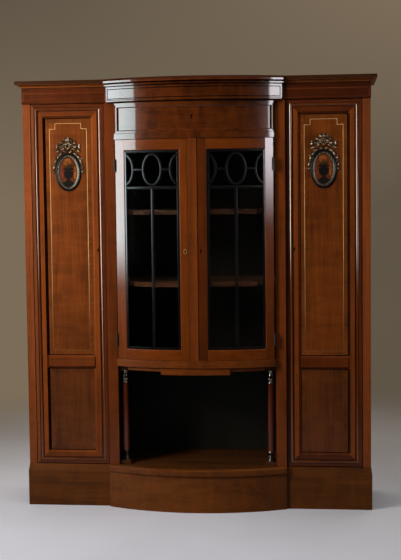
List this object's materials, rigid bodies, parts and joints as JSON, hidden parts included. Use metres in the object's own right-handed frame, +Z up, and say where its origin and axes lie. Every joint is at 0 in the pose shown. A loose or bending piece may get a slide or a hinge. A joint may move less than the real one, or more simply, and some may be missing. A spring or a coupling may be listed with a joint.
{
  "type": "display cabinet",
  "caption": "Bow-front standing display cabinet: glazed doors under a drawer and over an open niche with columns, between closed panelled wings.",
  "frame": {"origin": "middle of the footprint on the floor, at the bottom centre of the bounding box", "axes": "+Z up, +Y from the front to the back, +X to the right as seen from the front; the left and right halves mirror each other about X = 0"},
  "size_m": [1.554, 0.478, 1.862],
  "materials": {
    "mahogany": "polished",
    "figured_mahogany": "polished",
    "inner_wood": "matt",
    "dark_wood": "satin",
    "ebonised_wood": "gloss",
    "brass": "polished",
    "glass": "clear"
  },
  "bodies": {
    "carcass": {"plinth_left": "mahogany", "plinth_right": "mahogany", "plinth_bow": "figured_mahogany", "plinth_back": "inner_wood", "bottom_board": "mahogany", "side_left": "mahogany", "side_right": "mahogany", "stile_left": "mahogany", "stile_right": "mahogany", "pilaster_left": "mahogany", "pilaster_right": "mahogany", "partition_left": "mahogany", "partition_right": "mahogany", "back_panel": "dark_wood", "top_board": "inner_wood", "drawer_rail": "mahogany", "display_floor": "mahogany", "centre_post": "mahogany", "apron": "mahogany", "frieze_left": "mahogany", "frieze_right": "mahogany", "frieze_bow": "figured_mahogany", "cornice_left": "mahogany", "cornice_right": "mahogany", "cornice_bow": "mahogany", "display_shelf_lower": "mahogany", "display_shelf_upper": "mahogany", "wing_shelf_left": "inner_wood", "wing_shelf_right": "inner_wood", "column_brass_left": "brass", "column_brass_right": "brass", "column_shaft_left": "mahogany", "column_shaft_right": "mahogany", "glass_hinge_left_upper": "brass", "glass_hinge_left_lower": "brass", "glass_hinge_right_upper": "brass", "glass_hinge_right_lower": "brass"},
    "wing_door_left": {"wing_door_left_frame": "mahogany", "wing_panel_left_lower": "figured_mahogany", "wing_panel_left_upper": "figured_mahogany", "wing_pivot_left_lower": "brass", "wing_pivot_left_upper": "brass", "medallion_left": "ebonised_wood"},
    "wing_door_right": {"wing_door_right_frame": "mahogany", "wing_panel_right_lower": "figured_mahogany", "wing_panel_right_upper": "figured_mahogany", "wing_pivot_right_lower": "brass", "wing_pivot_right_upper": "brass", "medallion_right": "ebonised_wood"},
    "glass_door_left": {"glass_door_left_frame": "mahogany", "glass_pane_left": "glass", "tracery_left": "ebonised_wood"},
    "glass_door_right": {"glass_door_right_frame": "mahogany", "glass_pane_right": "glass", "tracery_right": "ebonised_wood"},
    "drawer": {"drawer_front": "figured_mahogany", "drawer_side_left": "inner_wood", "drawer_side_right": "inner_wood", "drawer_back": "inner_wood", "drawer_bottom": "inner_wood"}
  },
  "joints": [
    {"name": "wing_door_left_hinge", "type": "hinge", "parent": "carcass", "child": "wing_door_left", "pos_m": [-0.6995, -0.104, 0.9735], "axis": [0, 0, -1], "range_deg": [0, 110]},
    {"name": "wing_door_right_hinge", "type": "hinge", "parent": "carcass", "child": "wing_door_right", "pos_m": [0.6995, -0.104, 0.9735], "axis": [0, 0, 1], "range_deg": [0, 110]},
    {"name": "glass_door_left_hinge", "type": "hinge", "parent": "carcass", "child": "glass_door_left", "pos_m": [-0.34225, -0.13981, 1.13], "axis": [0, 0, -1], "range_deg": [0, 110]},
    {"name": "glass_door_right_hinge", "type": "hinge", "parent": "carcass", "child": "glass_door_right", "pos_m": [0.34225, -0.13981, 1.13], "axis": [0, 0, 1], "range_deg": [0, 110]},
    {"name": "drawer_slide", "type": "slide", "parent": "carcass", "child": "drawer", "axis": [0, -1, 0], "range_m": [0, 0.24]}
  ]
}
